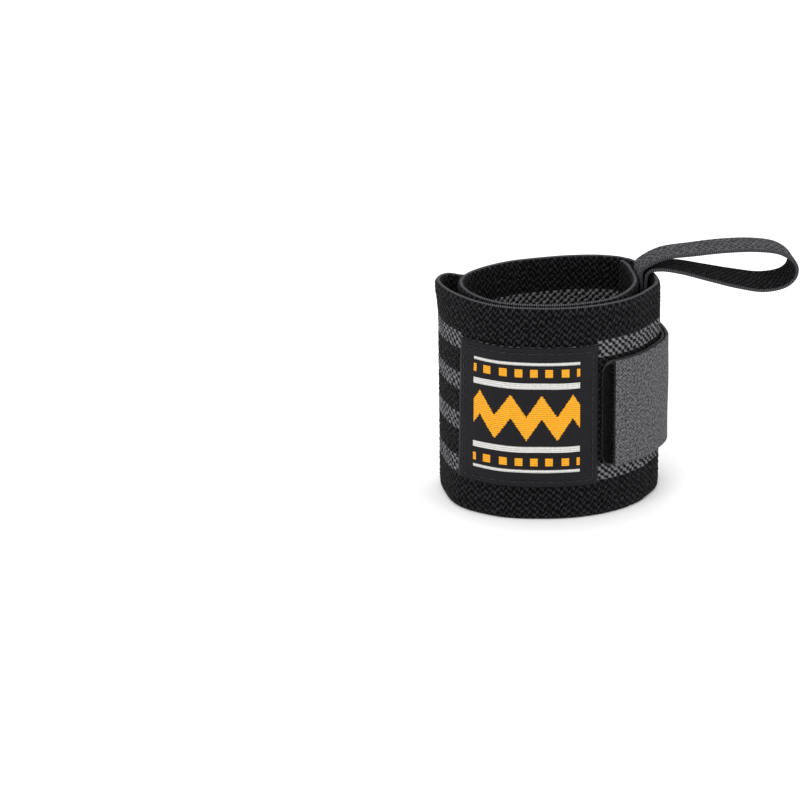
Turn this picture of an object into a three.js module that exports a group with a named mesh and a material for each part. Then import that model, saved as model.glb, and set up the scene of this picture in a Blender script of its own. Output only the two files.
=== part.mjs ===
// A wrist wrap, rolled up and standing on its lower edge: one elastic band wound
// nearly twice round, with a woven label, a loop-pile panel, a hook tab that
// closes the roll, and a thumb loop sewn across the band's inner end.
import * as THREE from 'three';

// Sizes in millimetres. +Z is up, +X is the thumb loop's side, -Y is the label's side.
const HOLLOW_WIDTH = 57.4;
const HOLLOW_DEPTH = 51.4;

const BAND_WIDTH = 76;
const BAND_THICKNESS = 2.4;
const BAND_RIM_CHAMFER = 0.6;
const STRETCH_NARROWING = 2.6;
const LAYER_GAP = 0.5;
const WIDEST_SLACK = 5;
const LIP_FLARE = 1.4;
const FLARE_HEIGHT = 13;
const LEAN = 1.4;
const SPLAY = 3;

const SEWN_GAP = 0.3;

const LABEL_HEIGHT = 50;
const LABEL_LENGTH = 47;
const LABEL_THICKNESS = 0.8;
const LABEL_DROP = 0.6;
const LABEL_TO_OUTER_END = 74;

const PANEL_HEIGHT = 38;
const PANEL_THICKNESS = 1.4;
const PANEL_TO_LABEL = 1.6;
const PANEL_PAST_OUTER_END = 8;

const TAB_HEIGHT = 38;
const TAB_THICKNESS = 1.2;
const TAB_SEWN_LENGTH = 14;
const TAB_RISE_LENGTH = 7;
const PILE_LEFT_BARE = 3.4;

const TAPE_WIDTH = 11.5;
const TAPE_THICKNESS = 1.2;
const TAPE_FROM_END = 7.5;
const TAPE_FOOT = 6;
const TAPE_RETURN_LENGTH = 14;
const LOOP_REACH = 54;
const LOOP_RISE = 8.6;
const LOOP_TWIST = 18;

const THIN_CHAMFER = 0.25;
const LONGEST_STEP = 3.6;
const SHARPEST_BEND = THREE.MathUtils.degToRad(8);
const FINE_STEP = 0.4;
const LOOP_SAMPLES_PER_ROW = 24;

// The hollow seen from above, clockwise from the band's inner end. Each row is
// a share of half the hollow's width and of half its depth.
const HOLLOW_OUTLINE = [
  { across: 0.90, deep: 0.81 },
  { across: 0.985, deep: 0.42 },
  { across: 0.98, deep: -0.12 },
  { across: 0.72, deep: -0.68 },
  { across: 0.30, deep: -0.94 },
  { across: -0.10, deep: -1.00 },
  { across: -0.57, deep: -0.90 },
  { across: -0.88, deep: -0.55 },
  { across: -1.00, deep: -0.10 },
  { across: -0.90, deep: 0.28 },
  { across: -0.42, deep: 0.75 },
  { across: 0.18, deep: 0.94 },
  { across: 0.48, deep: 0.95 },
  { across: 0.72, deep: 0.90 },
];

// How the band lies along its turns, from its inner end to its outer end. climb
// is the share of a layer by which it has risen over its own inner end,
// over_tape is 1 where the thumb loop's tape lies beneath it, slack is a share
// of WIDEST_SLACK, stretch is 1 where the band is pulled narrow, and splay is
// the share of SPLAY by which its lower edge stands out.
const BAND_ROUTE = [
  { turn: 0.00, climb: 0, over_tape: 0, slack: 0.00, stretch: 0, splay: 0 },
  { turn: 0.80, climb: 0, over_tape: 0, slack: 0.00, stretch: 0, splay: 0 },
  { turn: 0.89, climb: 0.36, over_tape: 0, slack: 0.00, stretch: 0, splay: 0 },
  { turn: 0.98, climb: 1, over_tape: 0, slack: 0.00, stretch: 0, splay: 0 },
  { turn: 1.01, climb: 1, over_tape: 0.2, slack: 0.03, stretch: 0, splay: 0 },
  { turn: 1.05, climb: 1, over_tape: 1, slack: 0.08, stretch: 0, splay: 0 },
  { turn: 1.12, climb: 1, over_tape: 1, slack: 0.32, stretch: 0, splay: 0.1 },
  { turn: 1.18, climb: 1, over_tape: 0.3, slack: 0.36, stretch: 0, splay: 0.2 },
  { turn: 1.26, climb: 1, over_tape: 0, slack: 0.16, stretch: 0, splay: 0.1 },
  { turn: 1.36, climb: 1, over_tape: 0, slack: 0.10, stretch: 0, splay: 0.1 },
  { turn: 1.46, climb: 1, over_tape: 0, slack: 0.12, stretch: 0, splay: 0.4 },
  { turn: 1.53, climb: 1, over_tape: 0, slack: 0.28, stretch: 0, splay: 0.9 },
  { turn: 1.59, climb: 1, over_tape: 0, slack: 0.56, stretch: 0, splay: 0.2 },
  { turn: 1.638, climb: 1, over_tape: 0, slack: 0.86, stretch: 0.2, splay: 0 },
  { turn: 1.656, climb: 1, over_tape: 0, slack: 0.78, stretch: 0.4, splay: 0 },
  { turn: 1.678, climb: 1, over_tape: 0, slack: 0.16, stretch: 0.9, splay: 0 },
  { turn: 1.698, climb: 1, over_tape: 0, slack: 0.00, stretch: 1, splay: 0 },
  { turn: 1.87, climb: 1, over_tape: 0, slack: 0.00, stretch: 1, splay: 0 },
];

// The loop beyond the rolled band: out is a share of LOOP_REACH, up a share of
// LOOP_RISE above the band's upper rim, and twist a share of LOOP_TWIST.
const LOOP_OUTLINE = [
  { out: 0.15, up: 0.70, twist: 0.1 },
  { out: 0.34, up: 0.84, twist: 0.2 },
  { out: 0.56, up: 0.95, twist: 0.25 },
  { out: 0.76, up: 0.94, twist: 0.25 },
  { out: 0.90, up: 0.78, twist: 0.2 },
  { out: 0.985, up: 0.42, twist: 0.1 },
  { out: 1.0, up: -0.08, twist: -0.3 },
  { out: 0.93, up: -0.50, twist: -0.8 },
  { out: 0.80, up: -0.62, twist: -1.0 },
  { out: 0.64, up: -0.46, twist: -0.9 },
  { out: 0.44, up: -0.16, twist: -0.6 },
  { out: 0.26, up: 0.12, twist: -0.3 },
];

const CLOTH = { roughness: 0.95, metalness: 0 };
const BLACK_ELASTIC = new THREE.MeshStandardMaterial({ color: 0x1c1c1e, ...CLOTH });
const BLACK_SATIN = new THREE.MeshStandardMaterial({ color: 0x262428, roughness: 0.6, metalness: 0 });
const BLACK_PILE = new THREE.MeshStandardMaterial({ color: 0x101011, ...CLOTH });
const GREY_HOOK_TAPE = new THREE.MeshStandardMaterial({ color: 0x666668, roughness: 0.85, metalness: 0 });
const DARK_GREY_TAPE = new THREE.MeshStandardMaterial({ color: 0x4b4b4e, ...CLOTH });

// A column of a table at a place between its rows, on a smooth curve that
// never overshoots a row.
function column(table, at, name, value) {
  const last = table.length - 1;
  const next = table.findIndex((row) => row[at] > value);
  if (next === 0) return table[0][name];
  if (next === -1) return table[last][name];
  const slopeAfter = (row) => (
    (table[row + 1][name] - table[row][name]) / (table[row + 1][at] - table[row][at])
  );
  const slopeAt = (row) => {
    if (row === 0 || row === last) return 0;
    const before = slopeAfter(row - 1);
    const after = slopeAfter(row);
    return before * after > 0 ? 2 * before * after / (before + after) : 0;
  };
  const low = table[next - 1];
  const high = table[next];
  const span = high[at] - low[at];
  const share = (value - low[at]) / span;
  const blend = share * share * (3 - 2 * share);
  const rise = share * (1 - share) * (1 - share) * slopeAt(next - 1) * span;
  const fall = share * share * (1 - share) * slopeAt(next) * span;
  return low[name] + (high[name] - low[name]) * blend + rise - fall;
}

const hollow = new THREE.CatmullRomCurve3(
  HOLLOW_OUTLINE.map(
    (row) => new THREE.Vector3(row.across * HOLLOW_WIDTH / 2, row.deep * HOLLOW_DEPTH / 2, 0),
  ),
  true,
  'centripetal',
);
hollow.arcLengthDivisions = 2000;

// The point that lies a distance outside the hollow's outline, at a turn.
function outsideHollow(turn, distance) {
  const share = turn % 1;
  const tangent = hollow.getTangentAt(share);
  const outward = new THREE.Vector3(-tangent.y, tangent.x, 0);
  return hollow.getPointAt(share).addScaledVector(outward, distance);
}

const outerEndTurn = BAND_ROUTE[BAND_ROUTE.length - 1].turn;
const turnLength = hollow.getLength();
const sewnTabTurn = outerEndTurn - TAB_SEWN_LENGTH / turnLength;
const tabRiseTurns = TAB_RISE_LENGTH / turnLength;
const panelFarTurn = outerEndTurn - 1 + PANEL_PAST_OUTER_END / turnLength;

// How far the band's middle lies outside the hollow: its first turn lies on the
// hollow, and every later one on the turn beneath and what is between them.
function bandDistance(turn) {
  const layer = BAND_THICKNESS + LAYER_GAP;
  if (turn < 1) return BAND_THICKNESS / 2 + column(BAND_ROUTE, 'turn', 'climb', turn) * layer;
  const doubledTape = 2 * TAPE_THICKNESS + 3 * SEWN_GAP - LAYER_GAP;
  const tab = TAB_THICKNESS + 2 * SEWN_GAP - LAYER_GAP;
  const overTab = THREE.MathUtils.smoothstep(turn, sewnTabTurn - 2 * tabRiseTurns, sewnTabTurn);
  return bandDistance(turn - 1) + layer
    + column(BAND_ROUTE, 'turn', 'slack', turn) * WIDEST_SLACK
    + column(BAND_ROUTE, 'turn', 'over_tape', turn) * doubledTape
    + overTab * tab;
}

// The tab lies on the turn beneath it, and rises there onto the pile panel.
function tabDistance(turn) {
  const beneath = turn - 1;
  const onPanel = THREE.MathUtils.smoothstep(beneath, panelFarTurn - tabRiseTurns, panelFarTurn);
  return bandDistance(beneath) + BAND_THICKNESS / 2 + SEWN_GAP + TAB_THICKNESS / 2
    + onPanel * (PANEL_THICKNESS + SEWN_GAP);
}

// A route seen from above as close stations, each with its turn, its length
// from the start, its point and its outward side.
function walk(distance, startTurn, endTurn) {
  const count = Math.ceil((endTurn - startTurn) * turnLength / FINE_STEP);
  const stations = [];
  for (let i = 0; i <= count; i += 1) {
    const turn = startTurn + (endTurn - startTurn) * i / count;
    const point = outsideHollow(turn, distance(turn));
    const before = stations[i - 1];
    const length = before ? before.length + point.distanceTo(before.point) : 0;
    stations.push({ turn, point, length });
  }
  stations.forEach((station, i) => {
    const ahead = stations[Math.min(i + 1, count)].point;
    const behind = stations[Math.max(i - 1, 0)].point;
    const tangent = ahead.clone().sub(behind).normalize();
    station.outward = new THREE.Vector3(-tangent.y, tangent.x, 0);
  });
  return stations;
}

// The station at a length along a route.
function stationAt(route, length) {
  const last = route.length - 1;
  const next = THREE.MathUtils.clamp(route.findIndex((s) => s.length >= length), 1, last);
  const low = route[next - 1];
  const high = route[next];
  const share = THREE.MathUtils.clamp((length - low.length) / (high.length - low.length), 0, 1);
  return {
    turn: THREE.MathUtils.lerp(low.turn, high.turn, share),
    point: low.point.clone().lerp(high.point, share),
    outward: low.outward.clone().lerp(high.outward, share).normalize(),
    length,
  };
}

function lengthAtTurn(route, turn) {
  return route.find((station) => station.turn >= turn).length;
}

// Stations from one length to another, far apart where the route is straight
// and close together where it bends.
function pickStations(route, from, to) {
  const picked = [stationAt(route, from)];
  for (const station of route) {
    if (station.length <= from || station.length >= to) continue;
    const last = picked[picked.length - 1];
    const far = station.length - last.length > LONGEST_STEP;
    const bent = station.outward.angleTo(last.outward) > SHARPEST_BEND;
    if (far || bent) picked.push(station);
  }
  const end = stationAt(route, to);
  const crowded = end.length - picked[picked.length - 1].length < FINE_STEP;
  if (crowded && picked.length > 1) picked.pop();
  picked.push(end);
  return picked;
}

// A closed body through rings of points, each ring going the same way round.
function sweep(rings) {
  const size = rings[0].length;
  const positions = rings.flat().flatMap((point) => [point.x, point.y, point.z]);
  const faces = [];
  for (let ring = 0; ring < rings.length - 1; ring += 1) {
    for (let corner = 0; corner < size; corner += 1) {
      const a = ring * size + corner;
      const b = ring * size + (corner + 1) % size;
      faces.push(a, b + size, b, a, a + size, b + size);
    }
  }
  const lastRing = (rings.length - 1) * size;
  for (let corner = 1; corner < size - 1; corner += 1) {
    faces.push(0, corner, corner + 1);
    faces.push(lastRing, lastRing + corner + 1, lastRing + corner);
  }
  const geometry = new THREE.BufferGeometry();
  geometry.setAttribute('position', new THREE.Float32BufferAttribute(positions, 3));
  geometry.setIndex(faces);
  geometry.computeVertexNormals();
  return geometry;
}

// A chamfered strip's section: side is the share of the thickness towards the
// outward side, height the share of the width up from the lower edge.
function stripSection(thickness, width, chamfer, levels) {
  const half = thickness / 2;
  const inner = [chamfer, ...levels, width - chamfer];
  const outer = [...inner].reverse();
  return [
    { side: -half + chamfer, height: 0 },
    ...inner.map((height) => ({ side: -half, height })),
    { side: -half + chamfer, height: width },
    { side: half - chamfer, height: width },
    ...outer.map((height) => ({ side: half, height })),
    { side: half - chamfer, height: 0 },
  ];
}

// The whole roll leans a little, as a soft thing does.
function lean(point) {
  point.x -= LEAN * (point.z / BAND_WIDTH - 0.5);
  return point;
}

// How far the outer turn stands out at a height, towards its lower edge.
function splay(turn, height) {
  return SPLAY * column(BAND_ROUTE, 'turn', 'splay', turn) * (1 - height / BAND_WIDTH);
}

// A strip that stands along a route, with its lower edge at a height.
function standingStrip(stations, offset, low, section, splayed) {
  return sweep(stations.map((station) => section.map((corner) => {
    const height = low + corner.height;
    const side = offset + corner.side + splay(splayed(station.turn), height);
    const point = station.point.clone().addScaledVector(station.outward, side);
    point.z = height;
    return lean(point);
  })));
}

// How far the upper border of the loose fold opens outwards.
function flare(turn, height) {
  const looseness = column(BAND_ROUTE, 'turn', 'slack', turn);
  const onLip = THREE.MathUtils.smoothstep(turn, 1.5, 1.62);
  const up = THREE.MathUtils.smoothstep(height, BAND_WIDTH - FLARE_HEIGHT, BAND_WIDTH);
  return LIP_FLARE * looseness * onLip * up;
}

const bandRoute = walk(bandDistance, 0, outerEndTurn);
const bandLength = bandRoute[bandRoute.length - 1].length;

function elasticBand() {
  const stations = pickStations(bandRoute, 0, bandLength);
  const upperLevels = [BAND_WIDTH - FLARE_HEIGHT, BAND_WIDTH - FLARE_HEIGHT / 2];
  const section = stripSection(BAND_THICKNESS, BAND_WIDTH, BAND_RIM_CHAMFER, upperLevels);
  return sweep(stations.map((station) => {
    const narrowing = column(BAND_ROUTE, 'turn', 'stretch', station.turn)
      * STRETCH_NARROWING / BAND_WIDTH;
    return section.map((corner) => {
      const side = corner.side + flare(station.turn, corner.height)
        + splay(station.turn, corner.height);
      const point = station.point.clone().addScaledVector(station.outward, side);
      point.z = corner.height * (1 - narrowing);
      return lean(point);
    });
  }));
}

const labelStart = bandLength - LABEL_TO_OUTER_END - LABEL_LENGTH;
const labelMiddleHeight = BAND_WIDTH / 2 - LABEL_DROP;

function wovenLabel() {
  const stations = pickStations(bandRoute, labelStart, labelStart + LABEL_LENGTH);
  const section = stripSection(LABEL_THICKNESS, LABEL_HEIGHT, THIN_CHAMFER, []);
  const offset = (BAND_THICKNESS + LABEL_THICKNESS) / 2 + SEWN_GAP;
  const low = labelMiddleHeight - LABEL_HEIGHT / 2;
  return standingStrip(stations, offset, low, section, (turn) => turn);
}

const panelEnd = labelStart - PANEL_TO_LABEL;

function loopPanel() {
  const stations = pickStations(bandRoute, lengthAtTurn(bandRoute, panelFarTurn), panelEnd);
  const section = stripSection(PANEL_THICKNESS, PANEL_HEIGHT, THIN_CHAMFER, []);
  const offset = (BAND_THICKNESS + PANEL_THICKNESS) / 2 + SEWN_GAP;
  const low = labelMiddleHeight - PANEL_HEIGHT / 2;
  return standingStrip(stations, offset, low, section, (turn) => turn);
}

function hookTab() {
  const freeTurn = stationAt(bandRoute, panelEnd - PILE_LEFT_BARE).turn + 1;
  const route = walk(tabDistance, sewnTabTurn, freeTurn);
  const stations = pickStations(route, 0, route[route.length - 1].length);
  const section = stripSection(TAB_THICKNESS, TAB_HEIGHT, THIN_CHAMFER, []);
  const low = labelMiddleHeight - TAB_HEIGHT / 2;
  return standingStrip(stations, 0, low, section, (turn) => turn - 1);
}

// The thumb loop's route in the upright plane that it leaves the roll in: sewn
// up across the band's inner end, out over the rim as a loop, and back down into
// the gap beside its own sewn stretch. Lengths run from the sewn stretch and
// from the band's upper rim.
function loopRoute() {
  const back = TAPE_THICKNESS + SEWN_GAP;
  const overRim = TAPE_THICKNESS / 2 + 2 * SEWN_GAP;
  const foot = TAPE_FOOT - BAND_WIDTH;
  return [
    { out: 0, up: foot, twist: 0 },
    { out: 0, up: foot * 2 / 3, twist: 0 },
    { out: 0, up: foot / 3, twist: 0 },
    { out: 0, up: -4 * overRim, twist: 0 },
    { out: 0.05 * back, up: 1.2 * overRim, twist: 0 },
    { out: 1.2 * back, up: 2.6 * overRim, twist: 0 },
    ...LOOP_OUTLINE.map((row) => (
      { out: row.out * LOOP_REACH, up: row.up * LOOP_RISE, twist: row.twist * LOOP_TWIST }
    )),
    { out: 4.4 * back, up: 1.5 * overRim, twist: 0 },
    { out: 2.2 * back, up: 1.2 * overRim, twist: 0 },
    { out: 1.25 * back, up: 0.1 * overRim, twist: 0 },
    { out: back, up: -2.2 * overRim, twist: 0 },
    { out: back, up: -TAPE_RETURN_LENGTH, twist: 0 },
  ];
}

// Samples of the loop's route with their slopes, closer where it bends.
function pickLoopSamples() {
  const route = loopRoute();
  const points = route.map((row) => new THREE.Vector3(row.out, row.twist, row.up));
  const path = new THREE.CatmullRomCurve3(points, false, 'centripetal');
  const samples = path.getPoints(route.length * LOOP_SAMPLES_PER_ROW);
  const last = samples.length - 1;
  const picked = [];
  samples.forEach((sample, i) => {
    const ahead = samples[Math.min(i + 1, last)];
    const behind = samples[Math.max(i - 1, 0)];
    const slope = new THREE.Vector2(ahead.x - behind.x, ahead.z - behind.z).normalize();
    const before = picked[picked.length - 1];
    if (before && i < last) {
      const moved = Math.hypot(sample.x - before.out, sample.z - before.up);
      const bent = Math.abs(slope.cross(before.slope)) > Math.sin(1.6 * SHARPEST_BEND);
      if (moved < FINE_STEP || (!bent && moved < 2 * LONGEST_STEP)) return;
    }
    picked.push({ out: sample.x, up: sample.z, twist: sample.y, slope });
  });
  return picked;
}

function thumbLoop() {
  const root = stationAt(bandRoute, TAPE_FROM_END + TAPE_WIDTH / 2);
  const outward = root.outward;
  const along = new THREE.Vector3(outward.y, -outward.x, 0);
  const sewn = (BAND_THICKNESS + TAPE_THICKNESS) / 2 + SEWN_GAP;
  const section = stripSection(TAPE_THICKNESS, TAPE_WIDTH, THIN_CHAMFER, []);
  return sweep(pickLoopSamples().map((sample) => {
    const tangent = outward.clone().multiplyScalar(sample.slope.x).setZ(sample.slope.y);
    const twist = THREE.MathUtils.degToRad(sample.twist);
    const facing = new THREE.Vector3().crossVectors(along, tangent).applyAxisAngle(tangent, twist);
    const wide = along.clone().applyAxisAngle(tangent, twist);
    const middle = root.point.clone().addScaledVector(outward, sewn + sample.out);
    middle.z = BAND_WIDTH + sample.up;
    return section.map((corner) => lean(
      middle.clone()
        .addScaledVector(facing, corner.side)
        .addScaledVector(wide, corner.height - TAPE_WIDTH / 2),
    ));
  }));
}

function named(name, geometry, material) {
  const mesh = new THREE.Mesh(geometry, material);
  mesh.name = name;
  return mesh;
}

const wrap = new THREE.Group();
wrap.add(
  named('elastic_band', elasticBand(), BLACK_ELASTIC),
  named('woven_label', wovenLabel(), BLACK_SATIN),
  named('loop_panel', loopPanel(), BLACK_PILE),
  named('hook_tab', hookTab(), GREY_HOOK_TAPE),
  named('thumb_loop', thumbLoop(), DARK_GREY_TAPE),
);

// The origin is on the surface that the roll stands on, below its middle.
const box = new THREE.Box3().setFromObject(wrap);
wrap.position.set(-(box.min.x + box.max.x) / 2, -(box.min.y + box.max.y) / 2, -box.min.z);

export default wrap;
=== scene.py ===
"""The finish of a wrist wrap that stands rolled up and closed.

One elastic band is wound nearly twice round. It carries a woven label, a panel
of loop pile, a hook tab that closes the roll, and a thumb loop of narrow tape.
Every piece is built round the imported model's frame. Lengths inside the
functions are millimetres in the roll's own frame, and meshes are in metres.
"""

import math
from collections import namedtuple

import bpy
import numpy as np
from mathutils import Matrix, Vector


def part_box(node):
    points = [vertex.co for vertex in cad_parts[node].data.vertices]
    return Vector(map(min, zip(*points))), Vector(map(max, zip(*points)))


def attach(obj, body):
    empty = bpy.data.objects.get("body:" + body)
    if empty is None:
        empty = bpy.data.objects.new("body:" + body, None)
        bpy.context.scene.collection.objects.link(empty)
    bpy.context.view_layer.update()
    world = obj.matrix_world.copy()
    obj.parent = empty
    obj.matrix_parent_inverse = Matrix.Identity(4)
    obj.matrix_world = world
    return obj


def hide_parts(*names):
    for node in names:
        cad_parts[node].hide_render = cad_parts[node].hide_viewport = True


bl_info = {
    "name": "Wrist Wrap",
    "version": (1, 0, 0),
    "blender": (4, 5, 0),
    "location": "3D View > Sidebar > Wrist Wrap",
    "description": "Builds a rolled elastic wrist wrap with its label, closure and thumb loop",
    "category": "Add Mesh",
}

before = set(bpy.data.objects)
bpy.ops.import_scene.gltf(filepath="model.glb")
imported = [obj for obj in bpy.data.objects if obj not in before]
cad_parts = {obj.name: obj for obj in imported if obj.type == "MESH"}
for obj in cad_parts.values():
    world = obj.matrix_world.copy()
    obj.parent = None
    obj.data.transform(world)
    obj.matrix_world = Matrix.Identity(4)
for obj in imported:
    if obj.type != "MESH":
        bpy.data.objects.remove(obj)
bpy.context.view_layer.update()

MM = 0.001

# The roll's sizes in millimetres, as the solids have them.
HOLLOW_WIDTH = 57.4
HOLLOW_DEPTH = 51.4
BAND_WIDTH = 76
BAND_THICKNESS = 2.4
STRETCH_NARROWING = 2.6
LAYER_GAP = 0.5
WIDEST_SLACK = 5
LIP_FLARE = 1.4
FLARE_HEIGHT = 13
LEAN = 1.4
SPLAY = 3
SEWN_GAP = 0.3
LABEL_HEIGHT = 50
LABEL_LENGTH = 47
LABEL_THICKNESS = 0.8
LABEL_DROP = 0.6
LABEL_TO_OUTER_END = 74
PANEL_HEIGHT = 38
PANEL_THICKNESS = 1.4
PANEL_TO_LABEL = 1.6
PANEL_PAST_OUTER_END = 8
TAB_HEIGHT = 38
TAB_THICKNESS = 1.2
TAB_SEWN_LENGTH = 14
TAB_RISE_LENGTH = 7
PILE_LEFT_BARE = 3.4
TAPE_WIDTH = 11.5
TAPE_THICKNESS = 1.2
TAPE_FROM_END = 7.5
TAPE_FOOT = 6
TAPE_RETURN_LENGTH = 14
LOOP_REACH = 54
LOOP_RISE = 8.6
LOOP_TWIST = 18

# The hollow seen from above, clockwise from the band's inner end, as shares of
# half its width and of half its depth.
HOLLOW_OUTLINE = (
    (0.90, 0.81), (0.985, 0.42), (0.98, -0.12), (0.72, -0.68), (0.30, -0.94),
    (-0.10, -1.00), (-0.57, -0.90), (-0.88, -0.55), (-1.00, -0.10), (-0.90, 0.28),
    (-0.42, 0.75), (0.18, 0.94), (0.48, 0.95), (0.72, 0.90),
)

# How the band lies along its turns. climb is the share of a layer by which it
# has risen over its inner end, over_tape is 1 over the thumb loop's tape, slack
# is a share of WIDEST_SLACK, stretch is 1 where the band is pulled narrow, and
# splay is the share of SPLAY by which its lower edge stands out.
ROUTE_COLUMNS = ("turn", "climb", "over_tape", "slack", "stretch", "splay")
BAND_ROUTE = np.array((
    (0.00, 0.00, 0.00, 0.00, 0.0, 0.0),
    (0.80, 0.00, 0.00, 0.00, 0.0, 0.0),
    (0.89, 0.36, 0.00, 0.00, 0.0, 0.0),
    (0.98, 1.00, 0.00, 0.00, 0.0, 0.0),
    (1.01, 1.00, 0.20, 0.03, 0.0, 0.0),
    (1.05, 1.00, 1.00, 0.08, 0.0, 0.0),
    (1.12, 1.00, 1.00, 0.32, 0.0, 0.1),
    (1.18, 1.00, 0.30, 0.36, 0.0, 0.2),
    (1.26, 1.00, 0.00, 0.16, 0.0, 0.1),
    (1.36, 1.00, 0.00, 0.10, 0.0, 0.1),
    (1.46, 1.00, 0.00, 0.12, 0.0, 0.4),
    (1.53, 1.00, 0.00, 0.28, 0.0, 0.9),
    (1.59, 1.00, 0.00, 0.56, 0.0, 0.2),
    (1.638, 1.00, 0.00, 0.86, 0.2, 0.0),
    (1.656, 1.00, 0.00, 0.78, 0.4, 0.0),
    (1.678, 1.00, 0.00, 0.16, 0.9, 0.0),
    (1.698, 1.00, 0.00, 0.00, 1.0, 0.0),
    (1.87, 1.00, 0.00, 0.00, 1.0, 0.0),
))
OUTER_END_TURN = BAND_ROUTE[-1, 0]

# The loop beyond the rolled band: out as a share of LOOP_REACH, up as a share
# of LOOP_RISE above the upper rim, and twist as a share of LOOP_TWIST.
LOOP_OUTLINE = (
    (0.15, 0.70, 0.1), (0.34, 0.84, 0.2), (0.56, 0.95, 0.25), (0.76, 0.94, 0.25),
    (0.90, 0.78, 0.2), (0.985, 0.42, 0.1), (1.0, -0.08, -0.3), (0.93, -0.50, -0.8),
    (0.80, -0.62, -1.0), (0.64, -0.46, -0.9), (0.44, -0.16, -0.6), (0.26, 0.12, -0.3),
)

# The knit, its stripes and the band's rims, in millimetres.
KNIT_ALONG = 1.3
KNIT_UP = 1.2
STRIPE_WIDTH = 6
STRIPE_PITCH = 14.6
# How far along the two middle stripes are painted black as shade, across the gap between the label and the
# pile panel.
GAP_SHADE_LENGTH = 8
RIM_HEIGHT = 1.6
THIN_RIM = 0.4
CREST_BEAD = 0.25
CREST_HALF_WIDTH = 0.48
TAPE_KNIT_FROM_EDGE = 1.2
FINE_STEP = 0.4

# Counts of points and loops, and the seeds of the random draws.
SAMPLES_PER_LOOP = 3
RIM_POINTS = 13
THIN_RIM_POINTS = 5
PILE_RIM_POINTS = 7
HIDDEN_ROWS = 10
THREAD_SIDES = 6
LOOPS_BEFORE_OVERLAP = 2
LOOPS_PAST_OVERLAP = 3
PULL_SEED = 5
PILE_SEED = 11

# The turns between which the loose fold's lip opens.
LIP_TURNS = (1.5, 1.62)

# Fine sizes of the yarns, threads and fibres, in millimetres. The tab's weave
# and grain and the pile's clumps and fibres are drawn coarser than real ones,
# which are too fine to show.
FIBRE_CLUMP = 0.55
YARN_DRIFT = 1.8
YARN_DRIFT_LENGTH = 3.0
YARN_PATCH = 1.6
RIM_RIB = 0.75
THREAD_TWIST = 0.25
TAPE_KNIT = 1.05
TAPE_ROW = 1.7
TAB_WEAVE = 0.6
TAB_GRAIN = 0.85
PILE_CLUMP = 0.7
PILE_FIBRE_RADIUS = 0.07
HOOK_RADIUS = 0.09
PAPER_GRAIN = 1.0

# How the yarns are shaded, without a unit. LOOP_PULL is a share of a loop's
# height, and BROAD_CLUMPS is how many clumps of fibre a broad one is wide. A
# strength is how much a wave or noise counts in the mix. A range goes from where
# the yarn is dark to where it is fully lit, and a shade is the brightness there.
LOOP_PULL = 0.6
LEANING_SHARE = 0.58
LEG_HIGHLIGHT_SHARE = 0.55
FIBRE_STRENGTH = 3.4
BEAD_FIBRE_STRENGTH = 1.4
TAPE_FIBRE_STRENGTH = 1.2
RIB_FIBRE_STRENGTH = 1.5
SATIN_FLOAT_STRENGTH = 2.0
TAB_GRAIN_STRENGTH = 3.6
TAB_WEAVE_STRENGTH = 0.3
BROAD_CLUMPS = 12
BROAD_STRENGTH = 0.5
KNIT_RANGE = (-0.35, 0.75)
BEAD_RANGE = (-0.45, 0.65)
TAPE_RANGE = (-1.0, -0.1)
RIB_RANGE = (0.6, 1.8)
FUZZ_RANGE = (0.5, 1.0)
TAB_RANGE = (1.3, 2.3)
PATCH_RANGE = (0.3, 0.7)
PATCH_SHADE = (0.25, 1.25)
SATIN_RANGE = (-0.5, 2.5)
SATIN_SHADE = (0.55, 1.3)
MOTIF_RAISE = 1.5

# The finest relief, drawn by shading: its depth in millimetres and its strength.
KNIT_BUMP = (0.25, 0.8)
RIB_BUMP = (0.1, 0.6)
SATIN_BUMP = (0.06, 0.5)
TAB_BUMP = (0.08, 0.5)
FUZZ_BUMP = (0.3, 0.8)
THREAD_BUMP = (0.1, 0.8)
PAPER_BUMP = (0.01, 0.8)

# The label's weave and its motifs, in millimetres. The ribs and steps are
# coarser than the real threads, which are too fine to show. A bar or a row of
# dashes is its distance from the label's middle and half its own height.
SATIN_RIB = 0.7
SATIN_FLOAT = 0.8
WEAVE_STEP = 0.35
ZIGZAG_PITCH = 10.0
ZIGZAG_SLOPE = 1.6
ZIGZAG_HALF_HEIGHT = 4.2
BAR = (11.4, 1.0)
THIN_BAR = (19.4, 0.5)
DASHES = (15.8, 1.4)
MOTIF_HALF_WIDTH = 17.5

# The relief of the label, the pile panel and the tab, in millimetres. A ripple's
# turns are radians for a millimetre along and up, and its start is in radians.
# PILE_END_SUNK_SHARE and PILE_LEAN have no unit.
LABEL_SAMPLING = 0.45
HEM_WIDTH = 3.4
HEM_SLOPE = 0.5
HEM_RELIEF = 0.14
SEAM_DEPTH = 0.2
SEAM_HALF_WIDTH = 0.55
EDGE_DROP = 0.3
EDGE_ROUNDING = 0.9
LABEL_RIPPLE = 0.12
LABEL_RIPPLE_TURNS = (0.42, 0.27)
LABEL_RIPPLE_START = (0, 1)
PILE_SAMPLING = 0.6
NAP_RELIEF = 0.09
SELVEDGE_WIDTH = 0.9
PILE_END_SLOPE = (0.3, 1.3)
PILE_END_SUNK_SHARE = 0.35
BARE_PILE_LENGTH = 11
PILE_SCATTER = 0.25
PILE_LEAN = 0.5
PILE_ROOT_DEPTH = 0.1
TAB_SAMPLING = 0.6
TAB_RIPPLE = 0.1
TAB_RIPPLE_TURNS = (0.31, 0.21)
TAB_RIPPLE_START = (0.4, 0)
TAB_STITCH_INSETS = (4.3, 9.5)
TAB_STITCH_FROM_EDGE = 1
TAB_STITCH_PITCH = 1.9
TAB_STITCH_LENGTH = 1.1
TAB_STITCH_RADIUS = 0.1
TAB_SEAM_DEPTH = 0.07
TAB_SEAM_HALF_WIDTH = 0.6
HOOKS_FROM_LOWER_EDGE = 0.8
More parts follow.
